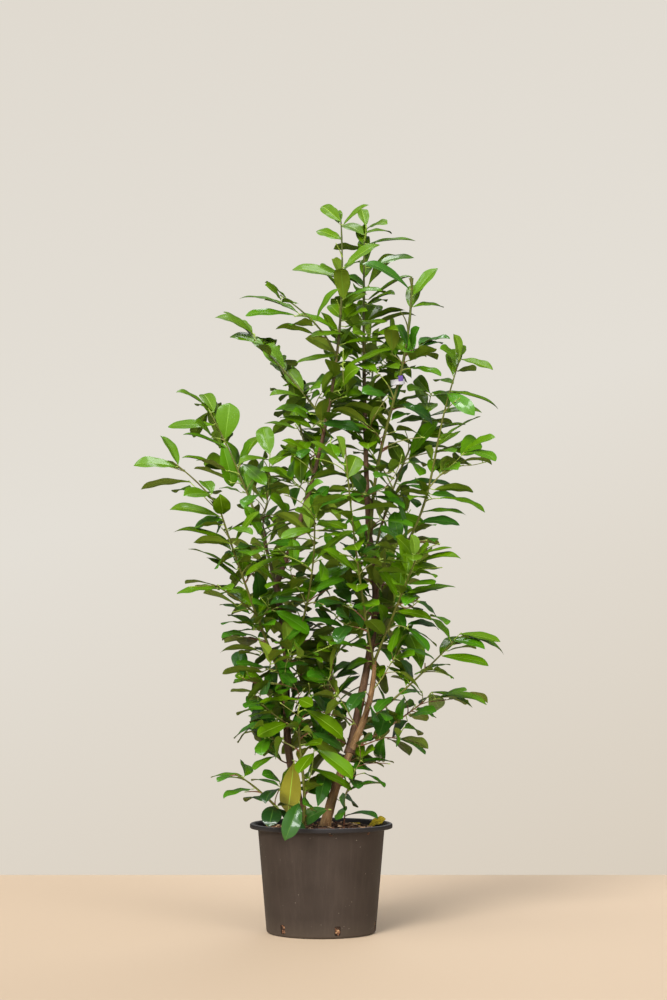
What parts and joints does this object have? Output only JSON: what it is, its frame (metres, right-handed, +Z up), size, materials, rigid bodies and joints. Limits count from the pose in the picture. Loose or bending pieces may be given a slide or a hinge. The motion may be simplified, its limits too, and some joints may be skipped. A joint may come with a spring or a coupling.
{
  "type": "potted cherry laurel shrub",
  "caption": "Evergreen cherry laurel shrub with upright stems, side boughs and leafy shoots, growing in a round nursery pot that stands on its flat underside",
  "frame": {"origin": "Centre of the pot's flat underside, on the surface that the pot stands on", "axes": "+Z is up, the plant's longest extent. -Y is the front, the side that the picture shows. +X is to the right as seen from the front."},
  "size_m": [0.9474, 0.775, 1.8633],
  "materials": {
    "pot_plastic": "matte",
    "growing_medium": "matte",
    "bark_dark": "matte",
    "bark_light": "matte",
    "bark_green": "satin",
    "leaf_young": "satin",
    "leaf_mature": "satin"
  },
  "bodies": {
    "root": {"pot": "pot_plastic", "growing_medium": "growing_medium", "stem_left": "bark_dark", "stem_right": "bark_light", "stem_middle": "bark_dark", "stem_front": "bark_green", "stem_low_left": "bark_green", "leader_left": "bark_dark", "leader_middle": "bark_dark", "leader_right": "bark_green", "bough_left": "bark_green", "bough_far_left": "bark_green", "bough_left_low": "bark_green", "bough_upper_left": "bark_green", "bough_high_left": "bark_green", "bough_highest_left": "bark_green", "bough_front_left": "bark_green", "bough_front": "bark_green", "bough_right_fork": "bark_green", "bough_right_inner": "bark_green", "bough_right_high": "bark_green", "bough_right_low": "bark_green", "bough_lowest_right": "bark_light", "bough_back_left": "bark_dark", "bough_back_right": "bark_dark", "bough_back_high": "bark_green", "bough_back_upper_left": "bark_green", "leaves_top_left": "leaf_young", "leaves_top_middle": "leaf_young", "leaves_top_right": "leaf_young", "leaves_highest_left": "leaf_young", "leaves_high_left": "leaf_young", "leaves_high_front": "leaf_mature", "leaves_high_back": "leaf_mature", "leaves_right_high": "leaf_young", "leaves_right_outer": "leaf_mature", "leaves_right_middle": "leaf_mature", "leaves_right_inner": "leaf_mature", "leaves_right_fork": "leaf_young", "leaves_right_low": "leaf_young", "leaves_lowest_right": "leaf_mature", "leaves_front": "leaf_young", "leaves_front_left": "leaf_mature", "leaves_left": "leaf_young", "leaves_far_left": "leaf_young", "leaves_left_low": "leaf_young", "leaves_upper_left": "leaf_young", "leaves_left_inner": "leaf_mature", "leaves_left_foot": "leaf_mature", "leaves_middle_foot": "leaf_mature", "leaves_middle": "leaf_mature", "leaves_middle_right": "leaf_mature", "leaves_middle_high": "leaf_mature", "leaves_back_left": "leaf_mature", "leaves_back_right": "leaf_mature", "leaves_back_high": "leaf_mature", "leaves_back_upper_left": "leaf_mature", "leaves_low_left": "leaf_mature", "leaves_right_foot": "leaf_mature", "leaves_front_foot": "leaf_mature"}
  },
  "joints": []
}
